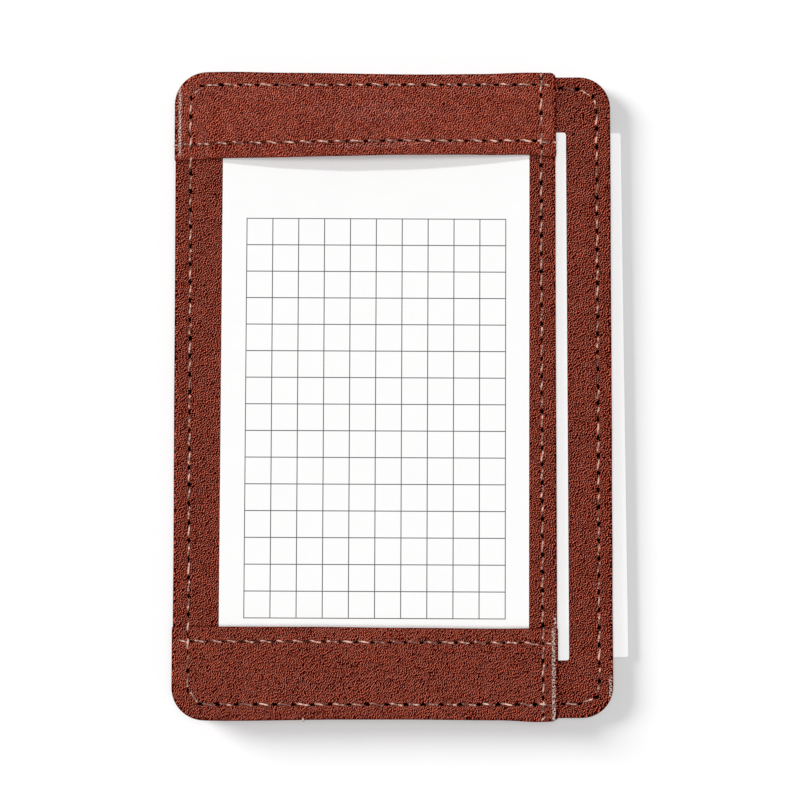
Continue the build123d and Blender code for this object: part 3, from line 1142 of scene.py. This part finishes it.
# threads that run out over the case's edges, each from its hole to the edge
band_edge = body_high.y + band_wrap
past_edge = 0.1 * MM
lower_ends = (((34.2 * MM, -band_edge + 1.0 * MM), (33.2 * MM, -band_edge - past_edge)),
              ((-23.3 * MM, -band_edge + 0.8 * MM), (-23.2 * MM, -band_edge - past_edge)))
upper_end = ((mouth_x, band_edge - 1.2 * MM), (mouth_x, band_edge))
hem_start, hem_end = top_hem_row[0], top_hem_row[-1]
hem_ends = (((hem_start.x, hem_start.y), (body_low.x - past_edge, hem_start.y)),
            ((hem_end.x, hem_end.y), (panel_high.x + band_wrap, hem_end.y)))

sew("case_stitches", case_row, ["seam_thread"], front_surface, loose_ends=lower_ends)
# the cards slide over this row
sew("body_edge_stitches", body_row, ["body_edge_thread"], front_surface, sunk=body_row_sunk)
sew("panel_edge_stitches", panel_edge_row, ["panel_edge_thread"], front_surface, loose_ends=(upper_end,))
sew("top_hem_stitches", top_hem_row, ["top_hem_thread"], front_surface, loose_ends=hem_ends)
sew("bottom_hem_stitches", bottom_hem_row, ["bottom_hem_thread"], front_surface)
sew("back_stitches", back_row, ["back_seam_thread"], back_surface, -1)
sew("back_mouth_stitches", back_mouth_row, ["back_pocket_edge_thread"], back_surface, -1)

for finish, nodes in (
        (cloth, ("body_lining", "writing_panel_lining", "back_pocket_lining")),
        (board, ("body_board", "writing_panel_board")),
        (squared_card, ("writing_card",)),
        (plain_card, ("front_card_lower", "front_card_upper", "back_card_lower", "back_card_upper"))):
    for node in nodes:
        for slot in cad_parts[node].material_slots:
            slot.material = finish

# ---------- floor, light and camera ----------

floor_reach = 1.5
floor_drop = 0.05 * MM


def stage_floor():
    floor_finish = Finish("pale_floor", Roughness=0.9, Specular_IOR_Level=0.0)
    floor_finish.feed(Base_Color=(0.70, 0.70, 0.70, 1))
    glow = floor_finish.node("Emission", None, {"Color": (1, 1, 1, 1), "Strength": 0.15})
    seen = floor_finish.node("LightPath", output="Is Camera Ray")
    dark = floor_finish.node("Emission", None, {"Color": (1, 1, 1, 1), "Strength": 0.0})
    shown = floor_finish.node("MixShader", None, {0: seen, 1: dark, 2: glow})
    both = floor_finish.node("AddShader", None,
                             {0: Shade(floor_finish, floor_finish.shader.outputs[0]), 1: shown})
    output = next(node for node in floor_finish.tree.nodes if node.type == "OUTPUT_MATERIAL")
    floor_finish.join(both, output.inputs["Surface"])
    bm = bmesh.new()
    bmesh.ops.create_grid(bm, x_segments=1, y_segments=1, size=floor_reach)
    bmesh.ops.translate(bm, vec=(0, 0, -floor_drop), verts=bm.verts)
    floor_piece = new_object("floor", bm, floor_finish.material)
    return floor_piece


def sun(name, azimuth, elevation, softness, share, only=None, leaves_out=None):
    """A lamp far away, giving the named share of a white card's light. Azimuth 0 is +X, 90 is +Y.

    It may light one piece only, or leave one piece out.
    """
    lamp = bpy.data.lights.new(name, "SUN")
    lamp.angle = math.radians(softness)
    lamp.energy = share * math.pi / math.sin(math.radians(elevation))
    lamp_object = set_out(name, lamp)
    flat = math.cos(math.radians(elevation))
    towards = Vector((flat * math.cos(math.radians(azimuth)), flat * math.sin(math.radians(azimuth)),
                      math.sin(math.radians(elevation))))
    lamp_object.rotation_euler = towards.to_track_quat("Z", "Y").to_euler()
    lit = bpy.data.collections.new(name + "_lights")
    lit.objects.link(only or leaves_out)
    if leaves_out:
        lit.collection_objects[0].light_linking.link_state = "EXCLUDE"
    lamp_object.light_linking.receiver_collection = lit


def sky(strength):
    world = bpy.data.worlds.new("studio")
    bpy.context.scene.world = world
    world.use_nodes = True
    tree = world.node_tree
    background = next(node for node in tree.nodes if node.type == "BACKGROUND")
    background.inputs["Color"].default_value = (1, 1, 1, 1)
    paths = tree.nodes.new("ShaderNodeLightPath")
    level = tree.nodes.new("ShaderNodeMapRange")
    level.inputs["To Min"].default_value = strength
    level.inputs["To Max"].default_value = 1.0
    tree.links.new(paths.outputs["Is Camera Ray"], level.inputs["Value"])
    tree.links.new(level.outputs["Result"], background.inputs["Strength"])


def camera(aim, distance, tilt, lens):
    """Camera over the case, its top towards +Y, leaning back by the tilt."""
    view = bpy.data.cameras.new("camera")
    view.lens = lens
    view.sensor_width = 36
    view_object = set_out("camera", view)
    lean = math.radians(tilt)
    view_object.location = aim + Vector((0, -math.sin(lean), math.cos(lean))) * distance
    view_object.rotation_euler = (lean, 0, 0)
    bpy.context.scene.camera = view_object


floor = stage_floor()
sun("overhead", 105, 79, 22, 0.20, leaves_out=floor)
sun("front", 262, 62, 30, 0.30, leaves_out=floor)
sun("window", 92, 46, 5, 0.24, leaves_out=floor)
sun("reflector", 180, 40, 14, 0.06, leaves_out=floor)
sun("floor_lamp", 155, 29, 24, 0.55, only=floor)
sun("floor_fill", 0, 89, 30, 0.50, only=floor)
sky(0.20)
camera(aim=Vector((-0.26 * MM, -1.25 * MM, 4.8 * MM)), distance=0.5456, tilt=3.39, lens=102)
bpy.context.scene.view_settings.view_transform = "Standard"
